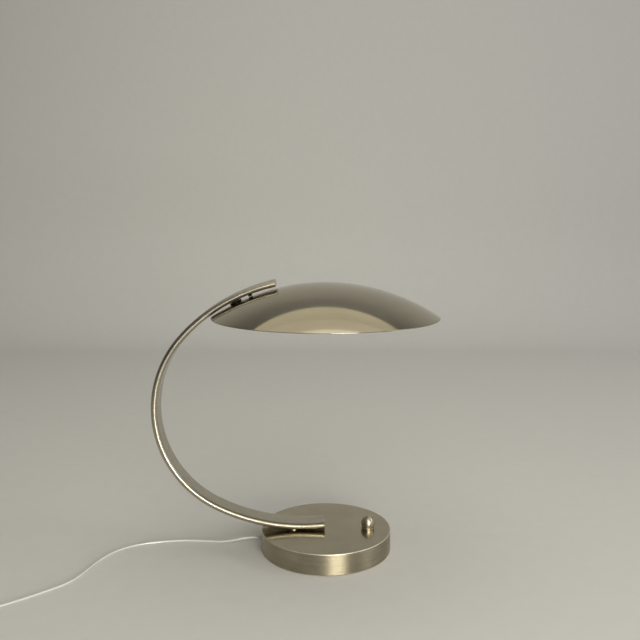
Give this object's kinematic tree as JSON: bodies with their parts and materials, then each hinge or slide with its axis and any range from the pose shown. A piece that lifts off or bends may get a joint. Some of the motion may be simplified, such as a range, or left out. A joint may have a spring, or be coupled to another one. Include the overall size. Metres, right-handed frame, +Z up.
{
  "type": "arc table lamp",
  "caption": "Table lamp with a round weighted base, a flat-oval C-shaped arm, a shallow dome shade on a small ball joint and a rotary dimmer knob on the base.",
  "frame": {"origin": "centre of the base's underside, on the table", "axes": "+Z up, +X from the arm's back towards the dimmer knob, -Y towards the user"},
  "size_m": [0.7078, 0.4346, 0.4036],
  "materials": {
    "champagne_nickel": "satin champagne-nickel plating",
    "felt": "black felt",
    "black_metal": "black oxide",
    "black_rubber": "matt",
    "cast_weight": "rough casting",
    "zinc_steel": "zinc plated",
    "bare_brass": "turned",
    "black_plastic": "moulded",
    "black_holder": "moulded",
    "white_plastic": "moulded",
    "bulb_cap": "pressed",
    "opal_glass": "opal",
    "clear_cord": "clear sleeve over pale strands",
    "clear_gland": "translucent",
    "white_cable": "moulded",
    "plug_plastic": "moulded",
    "plug_pins": "nickel plated"
  },
  "bodies": {
    "root": {"base_shell": "champagne_nickel", "felt_pad": "felt", "foot_spacer": "champagne_nickel", "arm_tube": "champagne_nickel", "arm_foot_cap": "champagne_nickel", "arm_top_cap": "champagne_nickel", "shade_buffer": "black_rubber", "dimmer_collar": "champagne_nickel", "power_cord": "clear_cord", "base_weight": "cast_weight", "cover_plate": "zinc_steel", "cover_screws": "zinc_steel", "arm_nipple": "zinc_steel", "foot_plate": "zinc_steel", "nipple_washer": "zinc_steel", "nipple_nut": "zinc_steel", "dimmer_body": "black_plastic", "dimmer_nut": "zinc_steel", "terminal_block": "white_plastic", "cord_clamp": "black_plastic", "cord_gland": "clear_gland", "mains_tail": "clear_cord", "arm_lead": "white_cable", "dimmer_leads": "white_cable", "arm_cable": "white_cable", "joint_anchor": "zinc_steel", "ball_stud": "bare_brass", "trunnion_pins": "zinc_steel", "cord_coil": "clear_cord", "cord_tail": "clear_cord", "plug_body": "plug_plastic", "plug_pins": "plug_pins"},
    "dimmer": {"dimmer_shaft": "zinc_steel", "dimmer_knob": "champagne_nickel"},
    "joint": {"joint_socket": "black_metal", "socket_retainer": "bare_brass", "swivel_washer": "zinc_steel", "swivel_nut": "zinc_steel"},
    "shade": {"shade_dome": "champagne_nickel", "shade_stiffener": "zinc_steel", "holder_bracket": "zinc_steel", "holder_nipple": "zinc_steel", "lampholder_front": "black_holder", "lampholder_rear": "black_holder", "bulb_cap_front": "bulb_cap", "bulb_cap_rear": "bulb_cap", "bulb_glass_front": "opal_glass", "bulb_glass_rear": "opal_glass", "shade_block": "white_plastic", "shade_cable": "white_cable", "holder_leads": "white_cable"}
  },
  "joints": [
    {"name": "dimmer_turn", "type": "hinge", "parent": "root", "child": "dimmer", "pos_m": [0.063, 0, 0.04], "axis": [0, 0, -1], "range_deg": [0, 280]},
    {"name": "shade_tilt", "type": "hinge", "parent": "root", "child": "joint", "pos_m": [-0.12774, 0, 0.36571], "axis": [0.9044, 0, 0.4267], "range_deg": [-5, 5]},
    {"name": "shade_swivel", "type": "hinge", "parent": "joint", "child": "shade", "pos_m": [-0.12774, 0, 0.36571], "axis": [-0.4267, 0, 0.9044], "range_deg": [-35, 35]}
  ]
}
